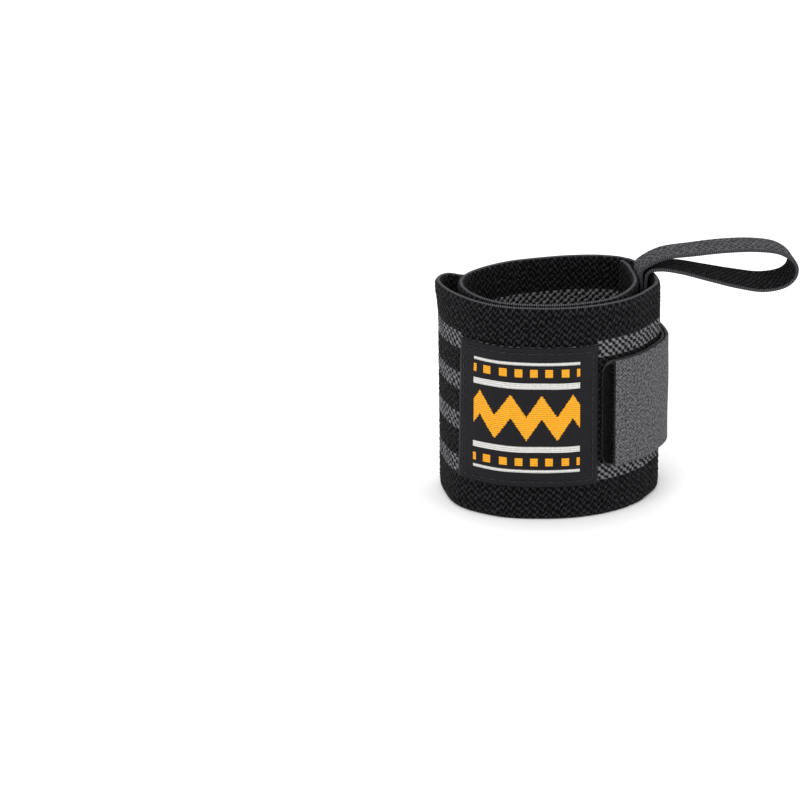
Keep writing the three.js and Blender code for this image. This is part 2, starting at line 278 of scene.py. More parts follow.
HOOKS_FROM_UPPER_EDGE = 0.6
HOOK_ROOT_DEPTH = 0.05

# A stitch seen from the side, in shares of half its length and of its radius.
STITCH_FORM = ((-1, -1), (-0.82, 0.6), (0, 1), (0.82, 0.6), (1, -1))

# How each kind of cloth takes the light, the same all over it.
CLOTH_SURFACE = {
    "Roughness": 0.8, "Sheen Weight": 0.01, "Sheen Roughness": 0.4, "Specular IOR Level": 0.06
}
SATIN_SURFACE = {"Roughness": 0.5, "Sheen Weight": 0.01, "Specular IOR Level": 0.1}
THREAD_SURFACE = {"Roughness": 0.6, "Sheen Weight": 0.02, "Specular IOR Level": 0.25}
PILE_SURFACE = {
    "Roughness": 0.95, "Sheen Weight": 0.01, "Sheen Roughness": 0.5, "Specular IOR Level": 0.03
}
PAPER_SURFACE = {"Roughness": 0.9}

# The camera in millimetres from the band's middle, and its angle in degrees.
CAMERA_FROM_BAND = (-51.3, -848.2, 319.4)
CAMERA_DOWN = 21.0
CAMERA_LENS = 117.45
CAMERA_SENSOR = 36.0

# The studio, in metres and watts. Each softbox has its place from the roll.
FLOOR_SIZE = 6.0
ROOM_LIGHT = 0.95
SOFTBOXES = (
    ("key_softbox", (-0.45, -0.75, 0.85), 0.7, 5.0),
    ("fill_softbox", (0.8, -0.5, 0.45), 0.6, 2.0),
    ("top_softbox", (0.1, 0.35, 1.0), 0.7, 3.0),
)

# The faces of a strip, as strip_piece gives them their materials.
INNER_FACE = 0
RIM = 1
CREST = 2
OUTER_FACE = 3

# The kinds of node that the materials use most.
MATH = "ShaderNodeMath"
NOISE = "ShaderNodeTexNoise"
RANGE = "ShaderNodeMapRange"
MIX = "ShaderNodeMix"

Route = namedtuple("Route", "turn length point outward")
Section = namedtuple("Section", "side height facing")


def linear(colour):
    """An sRGB hex colour as linear RGBA."""
    parts = [int(colour[i:i + 2], 16) / 255 for i in (1, 3, 5)]
    bent = [c / 12.92 if c <= 0.04045 else ((c + 0.055) / 1.055) ** 2.4 for c in parts]
    return (*bent, 1.0)


def smoothstep(value, low, high):
    share = np.clip((value - low) / (high - low), 0, 1)
    return share * share * (3 - 2 * share)


def column(name, turn):
    """A column of BAND_ROUTE at some turns, on a smooth curve that never overshoots."""
    at = BAND_ROUTE[:, 0]
    value = BAND_ROUTE[:, ROUTE_COLUMNS.index(name)]
    span = np.diff(at)
    rise = np.diff(value) / span
    before, after = rise[:-1], rise[1:]
    steady = before * after > 0
    total = np.where(steady, before + after, 1)
    slope = np.zeros(len(at))
    slope[1:-1] = np.where(steady, 2 * before * after / total, 0)
    turn = np.clip(turn, at[0], at[-1])
    low = np.clip(np.searchsorted(at, turn, side="right") - 1, 0, len(span) - 1)
    share = (turn - at[low]) / span[low]
    blend = share * share * (3 - 2 * share)
    tilt = share * (1 - share) * ((1 - share) * slope[low] - share * slope[low + 1]) * span[low]
    return value[low] + (value[low + 1] - value[low]) * blend + tilt


def catmull_rom(points, closed, per_span):
    """Points on a centripetal Catmull-Rom curve through the given ones."""
    points = np.asarray(points, float)
    if closed:
        padded = np.vstack([points[-1:], points, points[:2]])
    else:
        ends = 2 * points[[0, -1]] - points[[1, -2]]
        padded = np.vstack([ends[:1], points, ends[1:]])
    share = np.arange(per_span)[:, None] / per_span
    curve = []
    for p0, p1, p2, p3 in zip(padded, padded[1:], padded[2:], padded[3:]):
        d0, d1, d2 = (math.sqrt(np.linalg.norm(b - a)) for a, b in ((p0, p1), (p1, p2), (p2, p3)))
        t1 = ((p1 - p0) / d0 - (p2 - p0) / (d0 + d1) + (p2 - p1) / d1) * d1
        t2 = ((p2 - p1) / d1 - (p3 - p1) / (d1 + d2) + (p3 - p2) / d2) * d1
        square = -3 * p1 + 3 * p2 - 2 * t1 - t2
        cube = 2 * p1 - 2 * p2 + t1 + t2
        curve.append(p1 + share * (t1 + share * (square + share * cube)))
    curve.append((points[0] if closed else points[-1])[None])
    return np.vstack(curve)


def lengths_along(points):
    steps = np.linalg.norm(np.diff(points, axis=0), axis=1)
    return np.concatenate([[0], np.cumsum(steps)])


def unit(vectors):
    return vectors / np.linalg.norm(vectors, axis=-1, keepdims=True)


def ripple(lengths, heights, turns, start):
    """Slow waves over a cloth, along it and up it."""
    along = np.sin(lengths[:, None] * turns[0] + start[0])
    return along * np.sin(heights * turns[1] + start[1])


def corner_inset(to_end, radius):
    """How far a rounded corner draws the edge in, at a distance from the end."""
    to_end = np.clip(to_end, 0, radius)
    return radius - np.sqrt(radius ** 2 - (radius - to_end) ** 2)


HOLLOW = catmull_rom(
    np.array(HOLLOW_OUTLINE) * (HOLLOW_WIDTH / 2, HOLLOW_DEPTH / 2), closed=True, per_span=150
)
HOLLOW_AT = lengths_along(HOLLOW)
TURN_LENGTH = HOLLOW_AT[-1]
HOLLOW_SLOPE = unit(np.roll(HOLLOW[:-1], -1, axis=0) - np.roll(HOLLOW[:-1], 1, axis=0))
HOLLOW_SLOPE = np.vstack([HOLLOW_SLOPE, HOLLOW_SLOPE[:1]])

SEWN_TAB_TURN = OUTER_END_TURN - TAB_SEWN_LENGTH / TURN_LENGTH
TAB_RISE_TURNS = TAB_RISE_LENGTH / TURN_LENGTH
PANEL_FAR_TURN = OUTER_END_TURN - 1 + PANEL_PAST_OUTER_END / TURN_LENGTH


def outside_hollow(turn, distance):
    """The points that lie a distance outside the hollow's outline, at some turns."""
    at = turn % 1 * TURN_LENGTH
    x, y = (np.interp(at, HOLLOW_AT, HOLLOW[:, i]) for i in range(2))
    along_x, along_y = (np.interp(at, HOLLOW_AT, HOLLOW_SLOPE[:, i]) for i in range(2))
    return np.stack([x - along_y * distance, y + along_x * distance], axis=-1)


def band_distance(turn):
    """How far the band's middle lies outside the hollow, on what lies beneath it."""
    turn = np.asarray(turn, float)
    layer = BAND_THICKNESS + LAYER_GAP
    first = BAND_THICKNESS / 2 + column("climb", turn) * layer
    if turn.max() < 1:
        return first
    doubled_tape = 2 * TAPE_THICKNESS + 3 * SEWN_GAP - LAYER_GAP
    tab = TAB_THICKNESS + 2 * SEWN_GAP - LAYER_GAP
    over_tab = smoothstep(turn, SEWN_TAB_TURN - 2 * TAB_RISE_TURNS, SEWN_TAB_TURN)
    beneath = band_distance(np.where(turn < 1, 0, turn - 1))
    later = beneath + layer + column("slack", turn) * WIDEST_SLACK
    later = later + column("over_tape", turn) * doubled_tape + over_tab * tab
    return np.where(turn < 1, first, later)


def tab_distance(turn):
    """The tab lies on the turn beneath it, and rises there onto the pile panel."""
    beneath = turn - 1
    on_panel = smoothstep(beneath, PANEL_FAR_TURN - TAB_RISE_TURNS, PANEL_FAR_TURN)
    seat = band_distance(beneath) + BAND_THICKNESS / 2 + SEWN_GAP + TAB_THICKNESS / 2
    return seat + on_panel * (PANEL_THICKNESS + SEWN_GAP)


def walk(distance, start, end):
    """A route seen from above, from one turn to another."""
    count = math.ceil((end - start) * TURN_LENGTH / FINE_STEP)
    turn = np.linspace(start, end, count + 1)
    point = outside_hollow(turn, distance(turn))
    along = np.empty_like(point)
    along[1:-1] = point[2:] - point[:-2]
    along[0] = point[1] - point[0]
    along[-1] = point[-1] - point[-2]
    along = unit(along)
    outward = np.stack([-along[:, 1], along[:, 0]], axis=-1)
    return Route(turn, lengths_along(point), point, outward)


def at_lengths(route, lengths):
    """The stations of a route at some lengths from its start."""
    point, outward = (
        np.stack([np.interp(lengths, route.length, part[:, i]) for i in range(2)], axis=-1)
        for part in (route.point, route.outward)
    )
    return Route(np.interp(lengths, route.length, route.turn), lengths, point, unit(outward))


BAND = walk(band_distance, 0, OUTER_END_TURN)
BAND_LENGTH = BAND.length[-1]
LABEL_START = BAND_LENGTH - LABEL_TO_OUTER_END - LABEL_LENGTH
MIDDLE_HEIGHT = BAND_WIDTH / 2 - LABEL_DROP
PANEL_START = float(np.interp(PANEL_FAR_TURN, BAND.turn, BAND.length))
PANEL_END = LABEL_START - PANEL_TO_LABEL
TAB_FREE_TURN = 1 + float(np.interp(PANEL_END - PILE_LEFT_BARE, BAND.length, BAND.turn))
TAB = walk(tab_distance, SEWN_TAB_TURN, TAB_FREE_TURN)


def lie(route, lengths, side, height, turns_beneath=0):
    """Points in millimetres on a strip that stands along a route.

    side is how far they lie outwards of the route and height how far up. Both
    are given for each length, or for each length and each row.
    """
    at = at_lengths(route, lengths)
    turn = at.turn[:, None] - turns_beneath
    side = np.broadcast_to(side, np.broadcast_shapes(np.shape(side), (len(lengths), 1)))
    side, height = np.broadcast_arrays(side, height)
    out = side + SPLAY * column("splay", turn) * (1 - height / BAND_WIDTH)
    x = at.point[:, :1] + out * at.outward[:, :1] - LEAN * (height / BAND_WIDTH - 0.5)
    y = at.point[:, 1:] + out * at.outward[:, 1:]
    return np.stack([x, y, height], axis=-1)


def lie_on_band(lengths, side, height):
    """As lie, for the band itself: its fold opens at the top and its stretch is narrower."""
    turn = at_lengths(BAND, lengths).turn[:, None]
    up = smoothstep(height, BAND_WIDTH - FLARE_HEIGHT, BAND_WIDTH)
    flare = LIP_FLARE * column("slack", turn) * smoothstep(turn, *LIP_TURNS) * up
    points = lie(BAND, lengths, side + flare, height)
    points[..., 2] *= 1 - column("stretch", turn) * STRETCH_NARROWING / BAND_WIDTH
    return points


def row_shift():
    """Where the roll's own origin lies in the row's frame, in millimetres."""
    low, high = (np.array(corner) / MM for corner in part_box("elastic_band"))
    lengths = np.arange(0, BAND_LENGTH, FINE_STEP)
    sides = np.array([-1, -1, 1, 1]) * BAND_THICKNESS / 2
    heights = np.array([0, BAND_WIDTH, BAND_WIDTH, 0])
    points = lie_on_band(lengths, sides, heights).reshape(-1, 3)
    shift = ((low + high) - (points.min(0) + points.max(0))) / 2
    shift[2] = low[2]
    return shift


ROW_SHIFT = row_shift()


def section(thickness, width, rim_height, inner_rows, outer_rows, bead=0.0, rim_points=RIM_POINTS):
    """A strip's section as rings go: up the inner face, over the rim, down and under."""
    half = thickness / 2
    angle = np.linspace(math.pi, 0, rim_points + 2)[1:-1]
    across = half * np.cos(angle)
    rise = (rim_height - bead) * np.sin(angle)
    rise = rise + bead * np.clip(1 - (across / CREST_HALF_WIDTH) ** 2, 0, 1)
    inner = np.linspace(rim_height, width - rim_height, inner_rows)
    outer = np.linspace(width - rim_height, rim_height, outer_rows)
    side = np.concatenate([np.full(inner_rows, -half), across, np.full(outer_rows, half), -across])
    height = np.concatenate([inner, width - rim_height + rise, outer, rim_height - rise])
    facing = np.repeat([-1, 0, 1, 0], [inner_rows, rim_points, outer_rows, rim_points])
    return Section(side, height, facing)


def faces_of(part):
    """Which face of the strip each quad of a ring lies on."""
    ahead = np.roll(part.facing, -1)
    middle = (part.side + np.roll(part.side, -1)) / 2
    rim = np.where(np.abs(middle) < CREST_HALF_WIDTH, CREST, RIM)
    flat = np.where(part.facing > 0, OUTER_FACE, INNER_FACE)
    return np.where((part.facing == ahead) & (part.facing != 0), flat, rim)


def knit_relief(along, up, height_of_loops):
    """The knit's raised loops, in staggered rows, each pulled a little out of line."""
    turn_along, turn_up = along * math.pi / KNIT_ALONG, up * math.pi / KNIT_UP
    leaning = LEANING_SHARE * np.cos(turn_along - turn_up)
    loops = leaning + (1 - LEANING_SHARE) * np.cos(turn_along + turn_up)
    pulled = np.random.default_rng(PULL_SEED).normal(0, LOOP_PULL, loops.shape)
    return height_of_loops * (loops + pulled)


def end_cap(part, first, flip):
    """Triangles that close one end of a strip, up its two sides in turn."""
    size = len(part.height)
    split = int(np.argmax(part.height)) + 1
    inner = list(range(split))
    outer = [size - 1 - i for i in range(size - split)]
    triangles = []
    i = j = 0
    while i < len(inner) - 1 or j < len(outer) - 1:
        can_climb = i < len(inner) - 1
        inner_next = part.height[inner[i + 1]] if can_climb else math.inf
        outer_next = part.height[outer[j + 1]] if j < len(outer) - 1 else math.inf
        if inner_next <= outer_next:
            triangle = (inner[i], inner[i + 1], outer[j])
            i += 1
        else:
            triangle = (inner[i], outer[j + 1], outer[j])
            j += 1
        triangles.append([first + corner for corner in (reversed(triangle) if flip else triangle)])
    return triangles


def new_piece(name, points, faces, materials, finish=None, cloth=None):
    """A smooth mesh from points in the roll's millimetres, riding with the wrap."""
    mesh = bpy.data.meshes.new(name)
    places = (points.reshape(-1, 3) + ROW_SHIFT) * MM
    mesh.from_pydata(places.tolist(), [], faces)
    for material in materials:
        mesh.materials.append(material)
    if finish is not None:
        mesh.polygons.foreach_set("material_index", np.asarray(finish, np.int32))
    mesh.polygons.foreach_set("use_smooth", np.ones(len(mesh.polygons), bool))
    if cloth is not None:
        corner = np.empty(len(mesh.loops), np.int32)
        mesh.loops.foreach_get("vertex_index", corner)
        layer = mesh.uv_layers.new(name="Cloth")
        layer.data.foreach_set("uv", cloth.reshape(-1, 2)[corner].astype(np.float32).ravel())
    mesh.update()
    piece = bpy.data.objects.new(name, mesh)
    bpy.context.scene.collection.objects.link(piece)
    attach(piece, "root")
    return piece


def strip_piece(name, points, part, lengths, materials, finish_of_face, up=None):
    """A closed strip through rings of points. Its map is in millimetres of cloth.

    finish_of_face says which of the materials the inner face, the rim, the crest
    and the outer face have, in that order.
    """
    rings, size = points.shape[:2]
    ring, corner = np.meshgrid(np.arange(rings - 1), np.arange(size), indexing="ij")
    a = ring * size + corner
    b = ring * size + (corner + 1) % size
    quads = np.stack([a, a + size, b + size, b], axis=-1).reshape(-1, 4).tolist()
    caps = end_cap(part, 0, False) + end_cap(part, (rings - 1) * size, True)
    of_face = np.array(finish_of_face)[faces_of(part)]
    finish = np.concatenate([np.tile(of_face, rings - 1), np.full(len(caps), of_face[0])])
    up = np.broadcast_to(part.height if up is None else up, (rings, size))
    cloth = np.stack([np.broadcast_to(np.asarray(lengths)[:, None], (rings, size)), up], axis=-1)
    return new_piece(name, points, quads + caps, materials, finish, cloth)


def threads(name, line, radius, origins, along, outward, material):
    """Many short threads of one form as one mesh.

    line is the form's centre line as (along, outward) pairs, and the three
    arrays give each thread its place and its two directions.
    """
    line = np.asarray(line, float)
    slope = unit(np.gradient(line, axis=0))
    radii = np.asarray(radius, float) * np.ones(len(line))
    angle = np.arange(THREAD_SIDES) * 2 * math.pi / THREAD_SIDES
    rise = np.cos(angle)[None, :] * radii[:, None]
    form_along = line[:, :1] - slope[:, 1:] * rise
    form_out = line[:, 1:] + slope[:, :1] * rise
    form_across = np.sin(angle)[None, :] * radii[:, None]
    form = np.stack([form_along, form_out, form_across], axis=-1).reshape(-1, 3)
    across = np.cross(along, outward)
    axes = np.stack([along, outward, across], axis=1)
    points = origins[:, None, :] + form @ axes
    quads = []
    for ring in range(len(line) - 1):
        for corner in range(THREAD_SIDES):
            a = ring * THREAD_SIDES + corner
            b = ring * THREAD_SIDES + (corner + 1) % THREAD_SIDES
            quads.append((a, b, b + THREAD_SIDES, a + THREAD_SIDES))
    start = [tuple(range(THREAD_SIDES))[::-1]]
    end = [tuple(range(len(form) - THREAD_SIDES, len(form)))]
    faces = []
    for copy in range(len(origins)):
        shift = copy * len(form)
        faces += [[shift + corner for corner in face] for face in quads + start + end]
    return new_piece(name, points, faces, [material])


def add(tree, kind, links=None, **settings):
    """Adds a node. links maps its sockets to values, or to the nodes or sockets before it."""
    node = tree.nodes.new(kind)
    for name, value in settings.items():
        setattr(node, name, value)
    for socket, value in (links or {}).items():
        if isinstance(value, bpy.types.Node):
            value = value.outputs[0]
        if isinstance(value, bpy.types.NodeSocket):
            tree.links.new(value, node.inputs[socket])
        else:
            node.inputs[socket].default_value = value
    return node


def start_material(name):
    material = bpy.data.materials.new(name)
    material.use_nodes = True
    material.node_tree.nodes.clear()
    return material, material.node_tree


def finish_material(tree, colour, height, bump, surface):
    """Joins a colour and a relief to a surface whose other values hold all over."""
    depth, strength = bump
    bump = add(tree, "ShaderNodeBump", {"Height": height, "Strength": strength, "Distance": depth * MM})
    shader = add(tree, "ShaderNodeBsdfPrincipled", {"Base Color": colour, "Normal": bump, **surface})
    add(tree, "ShaderNodeOutputMaterial", {"Surface": shader})


def cloth_axes(tree):
    """The cloth's own two directions, along and up, in millimetres."""
    cloth = add(tree, "ShaderNodeUVMap", uv_map="Cloth")
    axes = add(tree, "ShaderNodeSeparateXYZ", {0: cloth})
    return cloth, axes.outputs[0], axes.outputs[1]


def wave_along(tree, axis, pitch):
    """A sine wave along an axis, with one turn for each pitch in millimetres."""
    turn = add(tree, MATH, {0: axis, 1: 2 * math.pi / pitch}, operation="MULTIPLY")
    return add(tree, MATH, {0: turn}, operation="SINE")


def two_tone(tree, value, lit, dark, light, fade="SMOOTHSTEP"):
    """A dark colour that turns light as a value goes through a range."""
    share = add(tree, RANGE, {0: value, 1: lit[0], 2: lit[1]}, interpolation_type=fade)
    return add(tree, MIX, {0: share, 6: dark, 7: light}, data_type="RGBA").outputs[2]


def knitted_elastic(name, colours, pitch, stripes=None, leg_highlight_share=0.0, lit=KNIT_RANGE,
                    fibre_strength=FIBRE_STRENGTH):
    """Textured polyester yarn knitted over rubber, in staggered loops.

    Matte loops are painted lighter where their tops catch the light, and the deep
    gaps between loops are painted nearly black as shade, so the band looks grainy
    and never flat. The legs' share sets how strongly each loop is painted with a
    highlight on each of its two legs and shade between them. A stripe is a stretch
    of grey yarn, whose loops look like beads.
    """
    material, tree = start_material(name)
    cloth, along, up = cloth_axes(tree)
    drift = add(tree, NOISE, {0: cloth, "Scale": 1 / YARN_DRIFT_LENGTH, "Detail": 2.0})
    drift = add(tree, "ShaderNodeSeparateXYZ", {0: drift.outputs["Color"]})
    turns = []
    for axis, step, shift in ((along, pitch[0], drift.outputs[0]), (up, pitch[1], drift.outputs[1])):
        moved = add(tree, MATH, {0: shift, 1: YARN_DRIFT, 2: axis}, operation="MULTIPLY_ADD")
        turns.append(add(tree, MATH, {0: moved, 1: math.pi / step, 2: -YARN_DRIFT / 2},
                         operation="MULTIPLY_ADD"))
    leaning = add(tree, MATH, {0: turns[0], 1: turns[1]}, operation="SUBTRACT")
    other = add(tree, MATH, {0: turns[0], 1: turns[1]}, operation="ADD")
    legs = add(tree, MATH, {0: turns[0], 1: 2.0, 2: turns[1]}, operation="MULTIPLY_ADD")
    leaning, other, legs = (
        add(tree, MATH, {0: turn}, operation="COSINE") for turn in (leaning, other, legs)
    )
    leaning = add(tree, MATH, {0: leaning, 1: LEANING_SHARE}, operation="MULTIPLY")
    wave = add(tree, MATH, {0: other, 1: 1 - LEANING_SHARE, 2: leaning}, operation="MULTIPLY_ADD")
    legs = add(tree, MATH, {0: legs, 1: -leg_highlight_share, 2: wave}, operation="MULTIPLY_ADD")
    fibre = add(tree, NOISE, {0: cloth, "Scale": 1 / FIBRE_CLUMP, "Detail": 4.0, "Roughness": 0.7})
    rough = add(tree, MATH, {0: fibre, 1: fibre_strength, 2: legs}, operation="MULTIPLY_ADD")
    low, high = (edge + fibre_strength / 2 for edge in lit)
    loop = add(tree, RANGE, {0: rough, 1: low, 2: high}, interpolation_type="SMOOTHSTEP")
    # Random patches make the painted highlights on the loops stronger or fainter.
    patch = add(tree, NOISE, {0: cloth, "Scale": 1 / YARN_PATCH, "Detail": 2.0})
    patch = add(tree, RANGE, {0: patch, 1: PATCH_RANGE[0], 2: PATCH_RANGE[1],
                              3: PATCH_SHADE[0], 4: PATCH_SHADE[1]})
    loop = add(tree, MATH, {0: loop, 1: patch}, operation="MULTIPLY")
    # Painted highlight and shade: each loop's lit share mixes the gap's painted shade with the yarn's
    # colour.
    colour = add(tree, MIX, {0: loop, 6: colours[0], 7: colours[1]}, data_type="RGBA").outputs[2]
    if stripes:
        bead = add(tree, MATH, {0: fibre, 1: BEAD_FIBRE_STRENGTH, 2: wave}, operation="MULTIPLY_ADD")
        bead_lit = [edge + BEAD_FIBRE_STRENGTH / 2 for edge in BEAD_RANGE]
        grey = two_tone(tree, bead, bead_lit, *colours[2:])
        mask = stripes(tree, along, up)
        colour = add(tree, MIX, {0: mask, 6: colour, 7: grey}, data_type="RGBA").outputs[2]
    finish_material(tree, colour, rough, KNIT_BUMP, CLOTH_SURFACE)
    return material


def stripe_mask(tree, along, up):
    """Where the band's yarn is grey: whole rows of loops, in four lengthwise stripes.

    The narrow gap between the label and the pile panel is painted black as shade,
    so the two in the middle break off across it and a little way beneath those.
    Along the label's upper edge the row that it leaves bare is drawn black too.
    """
    row = add(tree, MATH, {0: up, 1: KNIT_UP}, operation="SNAP")
    from_middle = add(tree, MATH, {0: row, 1: BAND_WIDTH / 2}, operation="SUBTRACT")
    from_middle = add(tree, MATH, {0: from_middle}, operation="ABSOLUTE")
    inner, outer, gap, on_label = (
        add(tree, MATH, {0: value, 1: middle, 2: half}, operation="COMPARE")
        for value, middle, half in (
            (from_middle, STRIPE_PITCH / 2, STRIPE_WIDTH / 2),
            (from_middle, STRIPE_PITCH * 1.5, STRIPE_WIDTH / 2),
            (along, LABEL_START - PANEL_TO_LABEL / 2, GAP_SHADE_LENGTH / 2),
            (along, LABEL_START + LABEL_LENGTH / 2, LABEL_LENGTH / 2),
        )
    )
    above = MIDDLE_HEIGHT + (LABEL_HEIGHT - KNIT_UP) / 2
    bare = add(tree, MATH, {0: row, 1: above}, operation="GREATER_THAN")
    bare = add(tree, MATH, {0: bare, 1: on_label}, operation="MULTIPLY")
    # The inner stripes are painted black as shade where they cross the gap.
    inner = add(tree, MATH, {0: inner, 1: gap}, operation="GREATER_THAN")
    outer = add(tree, MATH, {0: outer, 1: bare}, operation="GREATER_THAN")
    return add(tree, MATH, {0: inner, 1: outer}, operation="MAXIMUM")


def ribbed_yarn(name, dark, light, pitch):
    """Yarn wrapped over an edge: fine ribs across it, each with its own small highlight."""
    material, tree = start_material(name)
    cloth, along = cloth_axes(tree)[:2]
    rib = wave_along(tree, along, pitch)
    fibre = add(tree, NOISE, {0: cloth, "Scale": 1 / FIBRE_CLUMP, "Detail": 3.0})
    rough = add(tree, MATH, {0: fibre, 1: RIB_FIBRE_STRENGTH, 2: rib}, operation="MULTIPLY_ADD")
    colour = two_tone(tree, rough, RIB_RANGE, dark, light)
    finish_material(tree, colour, rough, RIB_BUMP, CLOTH_SURFACE)
    return material


def woven_satin(name, ground, amber, white):
    """Damask satin of fine polyester: a dull lustre, fine ribs, and motifs with stepped edges.

    The motifs are a plain zigzag between bars, woven in amber and white.
    """
    material, tree = start_material(name)
    cloth, along, up = cloth_axes(tree)
    steps = []
    for axis, start in ((along, LABEL_START + LABEL_LENGTH / 2), (up, MIDDLE_HEIGHT)):
        centred = add(tree, MATH, {0: axis, 1: start}, operation="SUBTRACT")
        steps.append(add(tree, MATH, {0: centred, 1: WEAVE_STEP}, operation="SNAP"))
    across, rise = steps
    fold = add(tree, MATH, {0: across, 1: ZIGZAG_PITCH / 2}, operation="PINGPONG")
    line = add(tree, MATH, {0: fold, 1: ZIGZAG_SLOPE, 2: -ZIGZAG_SLOPE * ZIGZAG_PITCH / 4},
               operation="MULTIPLY_ADD")
    zigzag = add(tree, MATH, {0: rise, 1: line, 2: ZIGZAG_HALF_HEIGHT}, operation="COMPARE")
    from_middle = add(tree, MATH, {0: rise}, operation="ABSOLUTE")
    bar, thin_bar, dashes = (
        add(tree, MATH, {0: from_middle, 1: place, 2: half}, operation="COMPARE")
        for place, half in (BAR, THIN_BAR, DASHES)
    )
    dash = add(tree, MATH, {0: across, 1: ZIGZAG_PITCH / 4}, operation="PINGPONG")
    dash = add(tree, MATH, {0: dash, 1: ZIGZAG_PITCH / 8}, operation="GREATER_THAN")
    dashes = add(tree, MATH, {0: dashes, 1: dash}, operation="MULTIPLY")
    from_side = add(tree, MATH, {0: across}, operation="ABSOLUTE")
    inside = add(tree, MATH, {0: from_side, 1: MOTIF_HALF_WIDTH}, operation="LESS_THAN")
    motifs = []
    for one, other in ((zigzag, dashes), (bar, thin_bar)):
        either = add(tree, MATH, {0: one, 1: other}, operation="MAXIMUM")
        motifs.append(add(tree, MATH, {0: either, 1: inside}, operation="MULTIPLY"))
    rib = wave_along(tree, up, SATIN_RIB)
    floats = add(tree, NOISE, {0: cloth, "Scale": 1 / SATIN_FLOAT, "Detail": 2.0})
    rough = add(tree, MATH, {0: floats, 1: SATIN_FLOAT_STRENGTH, 2: rib}, operation="MULTIPLY_ADD")
    shade = add(tree, RANGE, {0: rough, 1: SATIN_RANGE[0], 2: SATIN_RANGE[1],
                              3: SATIN_SHADE[0], 4: SATIN_SHADE[1]})
    colour = ground
    for motif, yarn in zip(motifs, (amber, white)):
        colour = add(tree, MIX, {0: motif, 6: colour, 7: yarn}, data_type="RGBA").outputs[2]
    # Painted shade darkens the grooves between the ribs, and the floats' noise adds a random grain.
    rib_shade_and_grain = add(tree, "ShaderNodeVectorMath", {0: colour, "Scale": shade}, operation="SCALE")
    raised = add(tree, MATH, {0: motifs[0], 1: motifs[1]}, operation="ADD")
    height = add(tree, MATH, {0: raised, 1: MOTIF_RAISE, 2: rough}, operation="MULTIPLY_ADD")
    finish_material(tree, rib_shade_and_grain.outputs[0], height, SATIN_BUMP, SATIN_SURFACE)
    return material


def fuzzy_nylon(name, dark, light, clump, surface, bump=FUZZ_BUMP):
    """Brushed or napped nylon: a soft, uneven surface that goes dark between its fibres."""
    material, tree = start_material(name)
    place = add(tree, "ShaderNodeTexCoord").outputs["Object"]
    fine = add(tree, NOISE, {0: place, "Scale": 1 / (clump * MM), "Detail": 4.0})
    broad = add(tree, NOISE, {0: place, "Scale": 1 / (BROAD_CLUMPS * clump * MM), "Detail": 2.0})
    mixed = add(tree, MATH, {0: broad, 1: BROAD_STRENGTH, 2: fine}, operation="MULTIPLY_ADD")
    colour = two_tone(tree, mixed, FUZZ_RANGE, dark, light)
    finish_material(tree, colour, fine, bump, surface)
    return material


def plain_weave(name, dark, light, pitch, surface):
    """Close plain weave of nylon, too fine to part its threads.

    It is an even grey with a mottled grain, drawn coarser than the real threads
    so that it shows, over the faint squares of the weave.
    """
    material, tree = start_material(name)
    cloth, along, up = cloth_axes(tree)
    wave_one, wave_other = (wave_along(tree, axis, 2 * pitch) for axis in (along, up))
    wave = add(tree, MATH, {0: wave_one, 1: wave_other}, operation="MULTIPLY")
    fibre = add(tree, NOISE, {0: cloth, "Scale": 1 / TAB_GRAIN, "Detail": 3.0, "Roughness": 0.65})
    grain = add(tree, MATH, {0: fibre, 1: TAB_GRAIN_STRENGTH}, operation="MULTIPLY")
    rough = add(tree, MATH, {0: wave, 1: TAB_WEAVE_STRENGTH, 2: grain}, operation="MULTIPLY_ADD")
    colour = two_tone(tree, rough, TAB_RANGE, dark, light, fade="LINEAR")
    finish_material(tree, colour, rough, TAB_BUMP, surface)
    return material


def hex_colour(label, text, value):
    return bpy.props.FloatVectorProperty(
        name=label, description=text, subtype="COLOR", size=4, min=0.0, max=1.0, default=linear(value)
    )


class WrapFinish(bpy.types.PropertyGroup):
    """The yarns' and threads' colours."""

    # Painted shade between the elastic's loops, and the dark between the black threads' fibres.
    black_gap: hex_colour("Black Gap", "The elastic between its loops", "#040405")
    black_yarn: hex_colour("Black Yarn", "The elastic's black loops", "#303033")
    # Painted shade between the loops of a grey stripe.
    grey_gap: hex_colour("Grey Gap", "The elastic between the loops of a stripe", "#141415")
    grey_yarn: hex_colour("Grey Yarn", "The loops of a stripe", "#7c7c7f")
    rim_yarn: hex_colour("Rim Yarn", "The edges' cords between their ribs", "#2a2a2d")
    # Painted highlight: the light grey on the ribs along the edges' crest.
    crest_yarn: hex_colour("Crest Yarn", "The thin cord along the edges' crest", "#626265")
    satin: hex_colour("Satin", "The label's ground", "#18171a")
    amber: hex_colour("Amber", "The label's amber motifs", "#e49c24")
    white: hex_colour("White", "The label's white bars", "#c9c7c4")
    label_thread: hex_colour("Label Thread", "The stitches round the label", "#2c2c2f")
    pile: hex_colour("Pile", "The loop pile's fibres", "#151516")
    pile_depth: hex_colour("Pile Depth", "The pile between its fibres", "#050505")
    tab_light: hex_colour("Tab Light", "The raised threads of the tab's back", "#6a6a6d")
    tab_dark: hex_colour("Tab Dark", "The sunk threads of the tab's back", "#242426")
    tab_thread: hex_colour("Tab Thread", "The stitches across the tab", "#68686b")
    hook: hex_colour("Hook", "The tab's hooks", "#2a2a2c")
    # Painted shade between the thumb loop's knots.
    tape_gap: hex_colour("Tape Gap", "The thumb loop between its knots", "#141416")
    tape_yarn: hex_colour("Tape Yarn", "The thumb loop's outer knots", "#525255")
    floor: hex_colour("Floor", "The surface that the roll stands on", "#fcfcfc")


def length_value(label, text, millimetres):
    return bpy.props.FloatProperty(
        name=label, description=text, unit="LENGTH", min=0.0, precision=5, default=millimetres * MM
    )


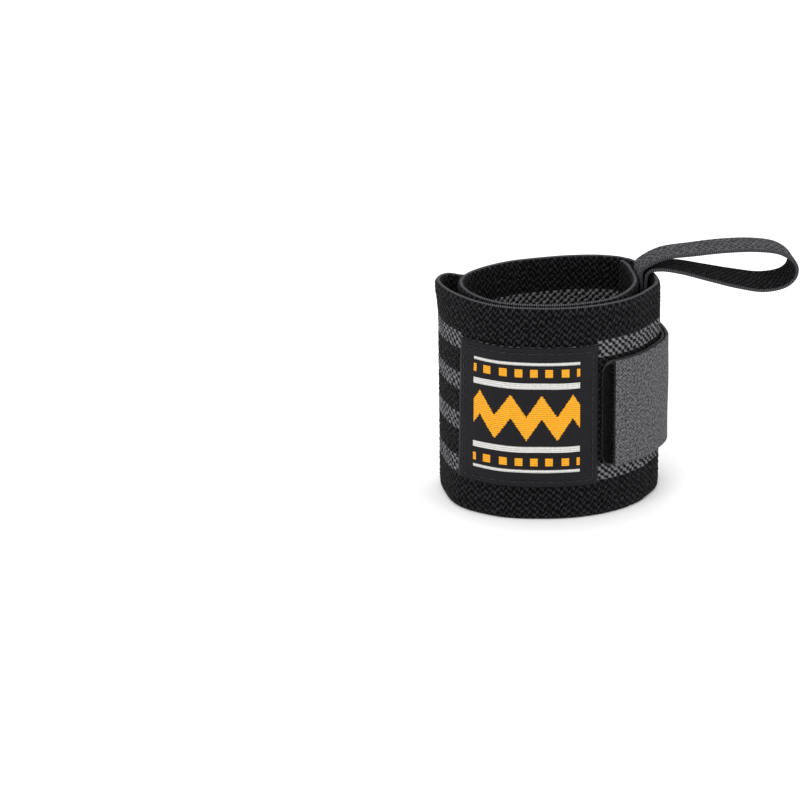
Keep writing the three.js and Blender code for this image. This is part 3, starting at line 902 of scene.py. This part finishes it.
class WrapSizes(bpy.types.PropertyGroup):
    """The sizes of what is added to the roll's own form."""

    loop_height: length_value("Loop Height", "How far the knit's loops stand out", 0.14)
    tape_loop_height: length_value("Tape Loop Height", "How far the tape's knots stand out", 0.11)
    stitch_length: length_value("Stitch Length", "A stitch, from hole to hole", 2.3)
    stitch_pitch: length_value("Stitch Pitch", "From one stitch to the next", 3.0)
    stitch_radius: length_value("Stitch Radius", "Half the thread's thickness", 0.2)
    stitch_inset: length_value("Stitch Inset", "From the label's edge to its stitches", 2.0)
    pile_pitch: length_value("Pile Pitch", "From one loop of the pile to the next", 0.62)
    pile_height: length_value("Pile Height", "How far the pile's loops stand out", 0.55)
    hook_pitch: length_value("Hook Pitch", "From one hook to the next", 1.5)
    hook_height: length_value("Hook Height", "How far the hooks stand out", 0.45)
    corner_radius: length_value("Corner Radius", "The rounding of the pile panel's corners", 3.0)


def settings(context):
    """The sizes in millimetres by name, and the finish."""
    group = context.scene.wrist_wrap_sizes
    sizes = {name: getattr(group, name) / MM for name in WrapSizes.__annotations__}
    return namedtuple("Sizes", sizes)(**sizes), context.scene.wrist_wrap_finish


def flat(*sides):
    return tuple(side * MM for side in sides)


def directions(route, lengths):
    """The along, up and outward directions at some stations of a standing route."""
    out = at_lengths(route, lengths).outward
    outward = np.column_stack([out, np.zeros(len(out))])
    along = np.column_stack([out[:, 1], -out[:, 0], np.zeros(len(out))])
    up = np.tile([0.0, 0.0, 1.0], (len(out), 1))
    return along, up, outward


def stitch_line(size):
    """A stitch seen from the side: it comes out of the cloth, lies on it and goes back in."""
    half = size.stitch_length / 2
    return [(along * half, out * size.stitch_radius) for along, out in STITCH_FORM]


def spread(start, end, pitch):
    """Evenly spaced places between two ends, about a pitch apart."""
    count = max(1, round((end - start) / pitch))
    return start + (np.arange(count) + 0.5) * (end - start) / count


def sewing(name, size, route, side, rows, material, turns_beneath=0):
    """Stitches on a strip. Each row is lengths, heights and whether they run upwards."""
    origins, along, outward = [], [], []
    for lengths, heights, upwards in rows:
        lengths, heights = (part.ravel() for part in np.broadcast_arrays(lengths, heights))
        places = lie(route, lengths, side, heights[:, None], turns_beneath)[:, 0]
        directions_here = directions(route, lengths)
        origins.append(places)
        along.append(directions_here[1] if upwards else directions_here[0])
        outward.append(directions_here[2])
    return threads(name, stitch_line(size), size.stitch_radius, np.vstack(origins),
                   np.vstack(along), np.vstack(outward), material)


class WRISTWRAP_OT_elastic_band(bpy.types.Operator):
    """Knit the elastic band in three joined stretches, finest where it shows"""

    bl_idname = "wrist_wrap.elastic_band"
    bl_label = "Elastic Band"

    def execute(self, context):
        size, finish = settings(context)
        knit = knitted_elastic(
            "Knitted elastic", (finish.black_gap, finish.black_yarn, finish.grey_gap, finish.grey_yarn),
            (KNIT_ALONG, KNIT_UP), stripe_mask, LEG_HIGHLIGHT_SHARE)
        # The edges' crest is painted with a light grey highlight on its ribs.
        crest = ribbed_yarn("Elastic edge cord", finish.rim_yarn, finish.crest_yarn, RIM_RIB)
        sampling = KNIT_ALONG / SAMPLES_PER_LOOP
        fine_rows = round((BAND_WIDTH - 2 * RIM_HEIGHT) * SAMPLES_PER_LOOP / KNIT_UP) + 1
        uncovered = float(np.interp(OUTER_END_TURN - 1, BAND.turn, BAND.length))
        covered = float(np.interp(1, BAND.turn, BAND.length))
        first = round(uncovered / KNIT_ALONG - LOOPS_BEFORE_OVERLAP) * KNIT_ALONG
        second = round(covered / KNIT_ALONG + LOOPS_PAST_OVERLAP) * KNIT_ALONG
        stretches = (
            ("band_inner_turn", 0, first, True, False),
            ("band_overlap", first, second, True, True),
            ("band_outer_turn", second, BAND_LENGTH, False, True),
        )
        for name, start, end, inner_shows, outer_shows in stretches:
            steps = math.floor((end - start) / sampling + 0.5)
            lengths = np.append(start + np.arange(steps) * sampling, end)
            part = section(BAND_THICKNESS, BAND_WIDTH, RIM_HEIGHT,
                           fine_rows if inner_shows else HIDDEN_ROWS,
                           fine_rows if outer_shows else HIDDEN_ROWS, CREST_BEAD)
            shows = np.where(part.facing > 0, outer_shows, inner_shows)
            from_rim = np.minimum(part.height, BAND_WIDTH - part.height)
            fade = smoothstep(from_rim, RIM_HEIGHT, RIM_HEIGHT + KNIT_UP)
            loops = knit_relief(lengths[:, None], part.height, size.loop_height)
            side = part.side + part.facing * shows * fade * loops
            band = strip_piece(name, lie_on_band(lengths, side, part.height), part, lengths,
                               (knit, crest), (0, 0, 1, 0))
            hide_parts("elastic_band")
        return {"FINISHED"}


class WRISTWRAP_OT_end_stitches(bpy.types.Operator):
    """Sew the band's outer end down onto the hook tab"""

    bl_idname = "wrist_wrap.end_stitches"
    bl_label = "End Stitches"

    def execute(self, context):
        size, finish = settings(context)
        thread = fuzzy_nylon("Black sewing thread", finish.black_gap, finish.label_thread,
                             THREAD_TWIST, THREAD_SURFACE)
        low = MIDDLE_HEIGHT - TAB_HEIGHT / 2
        inset, pitch = size.stitch_inset, size.stitch_pitch
        up = spread(low, low + TAB_HEIGHT, pitch)
        across = spread(BAND_LENGTH - TAB_SEWN_LENGTH, BAND_LENGTH - inset, pitch)
        rows = [
            (BAND_LENGTH - inset, up, True),
            (BAND_LENGTH - TAB_SEWN_LENGTH, up, True),
            (across, low + inset, False),
            (across, low + TAB_HEIGHT - inset, False),
        ]
        side = BAND_THICKNESS / 2 + size.loop_height / 2
        sewing("end_stitches", size, BAND, side, rows, thread)
        return {"FINISHED"}


class WRISTWRAP_OT_woven_label(bpy.types.Operator):
    """Weave the satin label and sew it round its edges"""

    bl_idname = "wrist_wrap.woven_label"
    bl_label = "Woven Label"

    def execute(self, context):
        size, finish = settings(context)
        satin = woven_satin("Damask satin", finish.satin, finish.amber, finish.white)
        plain = fuzzy_nylon("Satin fold", finish.black_gap, finish.satin, THREAD_TWIST, SATIN_SURFACE,
                            THREAD_BUMP)
        low = MIDDLE_HEIGHT - LABEL_HEIGHT / 2
        lengths = np.linspace(0, LABEL_LENGTH, round(LABEL_LENGTH / LABEL_SAMPLING) + 1)
        rows = round(LABEL_HEIGHT / LABEL_SAMPLING)
        part = section(LABEL_THICKNESS, LABEL_HEIGHT, LABEL_THICKNESS / 2, HIDDEN_ROWS, rows,
                       rim_points=THIN_RIM_POINTS)
        from_edge = np.minimum(
            np.minimum(lengths, LABEL_LENGTH - lengths)[:, None],
            np.minimum(part.height, LABEL_HEIGHT - part.height),
        )
        hem = 1 - smoothstep(from_edge, HEM_WIDTH - HEM_SLOPE, HEM_WIDTH + HEM_SLOPE)
        rounding = smoothstep(from_edge, 0, EDGE_ROUNDING)
        seam = np.exp(-((from_edge - size.stitch_inset) / SEAM_HALF_WIDTH) ** 2)
        waves = ripple(lengths, part.height, LABEL_RIPPLE_TURNS, LABEL_RIPPLE_START)
        relief = HEM_RELIEF * hem - SEAM_DEPTH * seam + LABEL_RIPPLE * waves
        relief = (relief + EDGE_DROP) * rounding - EDGE_DROP
        offset = (BAND_THICKNESS + LABEL_THICKNESS) / 2 + SEWN_GAP
        side = offset + part.side + (part.facing > 0) * relief
        points = lie(BAND, LABEL_START + lengths, side, low + part.height)
        label = strip_piece("woven_satin_label", points, part, LABEL_START + lengths,
                            (satin, plain), (1, 1, 1, 0), up=low + part.height)
        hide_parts("woven_label")
        thread = fuzzy_nylon("Grey sewing thread", finish.satin, finish.label_thread,
                             THREAD_TWIST, THREAD_SURFACE)
        inset, pitch = size.stitch_inset, size.stitch_pitch
        along = LABEL_START + spread(inset, LABEL_LENGTH - inset, pitch)
        up = low + spread(inset, LABEL_HEIGHT - inset, pitch)
        rows = [
            (along, low + inset, False),
            (along, low + LABEL_HEIGHT - inset, False),
            (LABEL_START + inset, up, True),
            (LABEL_START + LABEL_LENGTH - inset, up, True),
        ]
        surface = offset + LABEL_THICKNESS / 2 - SEAM_DEPTH / 2
        stitches = sewing("label_stitches", size, BAND, surface, rows, thread)
        return {"FINISHED"}


class WRISTWRAP_OT_loop_panel(bpy.types.Operator):
    """Lay the panel of loop pile, with standing loops where the tab leaves it bare"""

    bl_idname = "wrist_wrap.loop_panel"
    bl_label = "Loop Panel"

    def execute(self, context):
        size, finish = settings(context)
        napped = fuzzy_nylon("Napped nylon pile", finish.pile_depth, finish.pile, PILE_CLUMP, PILE_SURFACE)
        selvedge = fuzzy_nylon("Pile selvedge", finish.pile_depth, finish.label_thread, THREAD_TWIST,
                               THREAD_SURFACE, THREAD_BUMP)
        low = MIDDLE_HEIGHT - PANEL_HEIGHT / 2
        length = PANEL_END - PANEL_START
        lengths = np.linspace(0, length, round(length / PILE_SAMPLING) + 1)
        rows = round(PANEL_HEIGHT / PILE_SAMPLING)
        part = section(PANEL_THICKNESS, PANEL_HEIGHT, SELVEDGE_WIDTH, HIDDEN_ROWS, rows,
                       rim_points=PILE_RIM_POINTS)
        from_end = np.minimum(length - lengths, lengths)[:, None]
        inset = corner_inset(from_end, size.corner_radius)
        height = low + inset + part.height * (1 - 2 * inset / PANEL_HEIGHT)
        draw = np.random.default_rng(PILE_SEED)
        nap = draw.normal(0, NAP_RELIEF, (len(lengths), len(part.height)))
        offset = (BAND_THICKNESS + PANEL_THICKNESS) / 2 + SEWN_GAP
        sunk = PANEL_THICKNESS * PILE_END_SUNK_SHARE * (1 - smoothstep(from_end, *PILE_END_SLOPE))
        side = offset + part.side + (part.facing > 0) * (nap - sunk)
        points = lie(BAND, PANEL_START + lengths, side, height)
        panel = strip_piece("pile_panel", points, part, PANEL_START + lengths, (napped, selvedge),
                            (1, 1, 1, 0), up=height)
        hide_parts("loop_panel")
        fibre = fuzzy_nylon("Pile fibre", finish.pile_depth, finish.pile, THREAD_TWIST, PILE_SURFACE)
        bare_start = PANEL_END - BARE_PILE_LENGTH
        grid_along = np.arange(bare_start, PANEL_END - SELVEDGE_WIDTH, size.pile_pitch)
        grid_up = np.arange(low + SELVEDGE_WIDTH, low + PANEL_HEIGHT - SELVEDGE_WIDTH, size.pile_pitch)
        along, up = (part.ravel() for part in np.meshgrid(grid_along, grid_up))
        along = along + draw.uniform(-PILE_SCATTER, PILE_SCATTER, len(along))
        up = up + draw.uniform(-PILE_SCATTER, PILE_SCATTER, len(up))
        corner = low + SELVEDGE_WIDTH + corner_inset(PANEL_END - along, size.corner_radius)
        kept = (up > corner) & (up < 2 * low + PANEL_HEIGHT - corner)
        along, up = along[kept], up[kept]
        root = offset + PANEL_THICKNESS / 2 - PILE_ROOT_DEPTH
        origins = lie(BAND, along, root, up[:, None])[:, 0]
        along_way, up_way, outward = directions(BAND, along)
        spin = draw.uniform(0, math.pi, len(along))[:, None]
        lean_out = draw.uniform(-PILE_LEAN, PILE_LEAN, (len(along), 1))
        sideways = along_way * np.cos(spin) + up_way * np.sin(spin)
        outward = unit(outward + lean_out * np.cross(sideways, outward))
        sideways = unit(np.cross(outward, np.cross(sideways, outward)))
        # One loop from root to root, along and outwards, in millimetres.
        tall = size.pile_height
        curl = ((-0.22, -0.1), (-0.3, 0.55 * tall), (0.0, tall), (0.3, 0.5 * tall), (0.2, -0.1))
        loops = threads("pile_loops", curl, PILE_FIBRE_RADIUS, origins, sideways, outward, fibre)
        return {"FINISHED"}


class WRISTWRAP_OT_hook_tab(bpy.types.Operator):
    """Close the roll with the grey hook tab, its hooks and its rows of stitches"""

    bl_idname = "wrist_wrap.hook_tab"
    bl_label = "Hook Tab"

    def execute(self, context):
        size, finish = settings(context)
        back = plain_weave("Woven nylon tab", finish.tab_dark, finish.tab_light, TAB_WEAVE, CLOTH_SURFACE)
        front = fuzzy_nylon("Hook tape ground", finish.pile_depth, finish.hook, PILE_CLUMP, THREAD_SURFACE)
        low = MIDDLE_HEIGHT - TAB_HEIGHT / 2
        length = TAB.length[-1]
        lengths = np.linspace(0, length, round(length / TAB_SAMPLING) + 1)
        rows = round(TAB_HEIGHT / TAB_SAMPLING)
        part = section(TAB_THICKNESS, TAB_HEIGHT, THIN_RIM, rows, rows, rim_points=THIN_RIM_POINTS)
        rows_at = [length - inset for inset in TAB_STITCH_INSETS]
        seams = sum(np.exp(-((lengths - row) / TAB_SEAM_HALF_WIDTH) ** 2) for row in rows_at)[:, None]
        waves = ripple(lengths, part.height, TAB_RIPPLE_TURNS, TAB_RIPPLE_START)
        relief = TAB_RIPPLE * waves - TAB_SEAM_DEPTH * seams
        side = part.side + (part.facing > 0) * relief
        points = lie(TAB, lengths, side, low + part.height, turns_beneath=1)
        tab = strip_piece("hook_closure_tab", points, part, lengths, (back, front),
                          (1, 0, 0, 0), up=low + part.height)
        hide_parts("hook_tab")
        thread = fuzzy_nylon("Light grey thread", finish.tab_dark, finish.tab_thread,
                             THREAD_TWIST, THREAD_SURFACE)
        up = low + spread(TAB_STITCH_FROM_EDGE, TAB_HEIGHT - TAB_STITCH_FROM_EDGE, TAB_STITCH_PITCH)
        fine = size._replace(stitch_length=TAB_STITCH_LENGTH, stitch_radius=TAB_STITCH_RADIUS)
        stitches = sewing("tab_stitches", fine, TAB, TAB_THICKNESS / 2 - TAB_SEAM_DEPTH / 2,
                          [(row, up, True) for row in rows_at],
                          thread, turns_beneath=1)
        hook_nylon = fuzzy_nylon("Hook nylon", finish.pile_depth, finish.tab_thread,
                                 THREAD_TWIST, THREAD_SURFACE)
        grid_along = np.arange(length, TAB_SEWN_LENGTH, -size.hook_pitch)
        grid_up = np.arange(low + HOOKS_FROM_LOWER_EDGE, low + TAB_HEIGHT - HOOKS_FROM_UPPER_EDGE,
                            size.hook_pitch)
        along, up = (grid.ravel() for grid in np.meshgrid(grid_along, grid_up))
        origins = lie(TAB, along, HOOK_ROOT_DEPTH - TAB_THICKNESS / 2, up[:, None], 1)[:, 0]
        along_way, outward = directions(TAB, along)[::2]
        # One hook from its root to its tip, along and outwards, in millimetres.
        tall = size.hook_height
        hook = ((0, -0.1), (0.02, 0.6 * tall), (0.18, tall), (0.42, 0.9 * tall), (0.5, 0.6 * tall))
        hooks = threads("tab_hooks", hook, HOOK_RADIUS, origins, along_way, -outward, hook_nylon)
        return {"FINISHED"}


def loop_route():
    """The thumb loop's middle line: how far out of the roll, its twist and its height.

    Near the rim its points are chosen as shares of the tape's own clearances.
    """
    back = TAPE_THICKNESS + SEWN_GAP
    over_rim = TAPE_THICKNESS / 2 + 2 * SEWN_GAP
    foot = TAPE_FOOT - BAND_WIDTH
    rows = [
        (0, 0, foot),
        (0, 0, foot * 2 / 3),
        (0, 0, foot / 3),
        (0, 0, -4 * over_rim),
        (0.05 * back, 0, 1.2 * over_rim),
        (1.2 * back, 0, 2.6 * over_rim),
        *((out * LOOP_REACH, twist * LOOP_TWIST, up * LOOP_RISE) for out, up, twist in LOOP_OUTLINE),
        (4.4 * back, 0, 1.5 * over_rim),
        (2.2 * back, 0, 1.2 * over_rim),
        (1.25 * back, 0, 0.1 * over_rim),
        (back, 0, -2.2 * over_rim),
        (back, 0, -TAPE_RETURN_LENGTH),
    ]
    return catmull_rom(rows, closed=False, per_span=40)


def turned(vectors, axis, angle):
    """Vectors turned about unit axes."""
    across = np.cross(axis, vectors)
    return vectors * np.cos(angle) + across * np.sin(angle)


class WRISTWRAP_OT_thumb_loop(bpy.types.Operator):
    """Knit the narrow tape of the thumb loop along its route"""

    bl_idname = "wrist_wrap.thumb_loop"
    bl_label = "Thumb Loop"

    def execute(self, context):
        size, finish = settings(context)
        outside = knitted_elastic("Knitted tape", (finish.tape_gap, finish.tape_yarn),
                                  (TAPE_KNIT, TAPE_ROW), lit=TAPE_RANGE,
                                  fibre_strength=TAPE_FIBRE_STRENGTH)
        inside = knitted_elastic("Tape underside", (finish.black_gap, finish.black_yarn),
                                 (TAPE_KNIT, TAPE_KNIT))
        edge = ribbed_yarn("Tape edge yarn", finish.rim_yarn, finish.tape_yarn, RIM_RIB)
        route = loop_route()
        run = lengths_along(route[:, [0, 2]])
        lengths = np.arange(0, run[-1], TAPE_KNIT / SAMPLES_PER_LOOP)
        out, twist, up = (np.interp(lengths, run, route[:, i])[:, None] for i in range(3))
        slope = unit(np.gradient(np.hstack([out, up]), axis=0))
        root = at_lengths(BAND, np.array([TAPE_FROM_END + TAPE_WIDTH / 2]))
        outward = np.append(root.outward[0], 0)
        along = np.array([outward[1], -outward[0], 0])
        upright = np.array([0.0, 0.0, 1.0])
        tangent = slope[:, :1] * outward + slope[:, 1:] * upright
        angle = np.radians(twist)
        facing = turned(np.cross(along, tangent), tangent, angle)
        wide = turned(np.tile(along, (len(lengths), 1)), tangent, angle)
        sewn = (BAND_THICKNESS + TAPE_THICKNESS) / 2 + SEWN_GAP
        middle = np.append(root.point[0], BAND_WIDTH) + (sewn + out) * outward + up * upright
        rows = round(TAPE_WIDTH * SAMPLES_PER_LOOP / TAPE_KNIT)
        part = section(TAPE_THICKNESS, TAPE_WIDTH, THIN_RIM, rows, rows, rim_points=THIN_RIM_POINTS)
        from_rim = np.minimum(part.height, TAPE_WIDTH - part.height)
        wave = np.cos(lengths[:, None] * math.pi / TAPE_KNIT) * np.cos(part.height * math.pi / TAPE_KNIT)
        fade = smoothstep(from_rim, THIN_RIM, TAPE_KNIT_FROM_EDGE)
        side = part.side + part.facing * fade * size.tape_loop_height * wave
        points = middle[:, None] + side[..., None] * facing[:, None]
        points = points + (part.height - TAPE_WIDTH / 2)[:, None] * wide[:, None]
        points[..., 0] -= LEAN * (points[..., 2] / BAND_WIDTH - 0.5)
        loop = strip_piece("knitted_thumb_loop", points, part, lengths, (outside, inside, edge),
                           (1, 2, 2, 0))
        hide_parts("thumb_loop")
        return {"FINISHED"}


def soft_light(name, place, target, size, watts):
    """A square softbox that faces a point."""
    light = bpy.data.lights.new(name, "AREA")
    light.size = size
    light.energy = watts
    lamp = bpy.data.objects.new(name, light)
    lamp.location = place
    lamp.rotation_euler = (target - place).to_track_quat("-Z", "Y").to_euler()
    bpy.context.scene.collection.objects.link(lamp)


class WRISTWRAP_OT_stage(bpy.types.Operator):
    """Set the pale floor, the soft light and the camera"""

    bl_idname = "wrist_wrap.stage"
    bl_label = "Stage"

    def execute(self, context):
        finish = settings(context)[1]
        material = fuzzy_nylon("Matte paper", finish.floor, finish.floor, PAPER_GRAIN, PAPER_SURFACE,
                               PAPER_BUMP)
        band_low, band_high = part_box("elastic_band")
        middle = (band_low + band_high) / 2
        half = FLOOR_SIZE / 2
        mesh = bpy.data.meshes.new("floor")
        corners = ((-half, -half), (half, -half), (half, half), (-half, half))
        mesh.from_pydata([(x, y, band_low.z) for x, y in corners], [], [(0, 1, 2, 3)])
        mesh.materials.append(material)
        floor = bpy.data.objects.new("floor", mesh)
        context.scene.collection.objects.link(floor)
        for name, place, width, watts in SOFTBOXES:
            soft_light(name, middle + Vector(place), middle, width, watts)
        world = bpy.data.worlds.new("Studio")
        world.use_nodes = True
        background = world.node_tree.nodes["Background"]
        background.inputs["Color"].default_value = (1, 1, 1, 1)
        background.inputs["Strength"].default_value = ROOM_LIGHT
        context.scene.world = world
        lens = bpy.data.cameras.new("Camera")
        lens.lens = CAMERA_LENS
        lens.sensor_width = CAMERA_SENSOR
        camera = bpy.data.objects.new("Camera", lens)
        camera.location = middle + Vector(CAMERA_FROM_BAND) * MM
        camera.rotation_euler = (math.radians(90 - CAMERA_DOWN), 0, 0)
        context.scene.collection.objects.link(camera)
        context.scene.camera = camera
        context.scene.view_settings.view_transform = "Standard"
        return {"FINISHED"}


OPERATORS = (
    WRISTWRAP_OT_stage,
    WRISTWRAP_OT_elastic_band,
    WRISTWRAP_OT_end_stitches,
    WRISTWRAP_OT_woven_label,
    WRISTWRAP_OT_loop_panel,
    WRISTWRAP_OT_hook_tab,
    WRISTWRAP_OT_thumb_loop,
)


class WRISTWRAP_PT_panel(bpy.types.Panel):
    """The wrap's pieces, sizes and colours in the 3D view's sidebar"""

    bl_label = "Wrist Wrap"
    bl_space_type = "VIEW_3D"
    bl_region_type = "UI"
    bl_category = "Wrist Wrap"

    def draw(self, context):
        for operator in OPERATORS:
            self.layout.operator(operator.bl_idname)
        for group, kind in (("wrist_wrap_sizes", WrapSizes), ("wrist_wrap_finish", WrapFinish)):
            for name in kind.__annotations__:
                self.layout.prop(getattr(context.scene, group), name)


CLASSES = (WrapFinish, WrapSizes, *OPERATORS, WRISTWRAP_PT_panel)


def register():
    for kind in CLASSES:
        bpy.utils.register_class(kind)
    bpy.types.Scene.wrist_wrap_sizes = bpy.props.PointerProperty(type=WrapSizes)
    bpy.types.Scene.wrist_wrap_finish = bpy.props.PointerProperty(type=WrapFinish)


def unregister():
    del bpy.types.Scene.wrist_wrap_finish
    del bpy.types.Scene.wrist_wrap_sizes
    for kind in reversed(CLASSES):
        bpy.utils.unregister_class(kind)


def main():
    register()
    for operator in OPERATORS:
        group, name = operator.bl_idname.split(".")
        getattr(getattr(bpy.ops, group), name)()


if __name__ == "__main__":
    main()
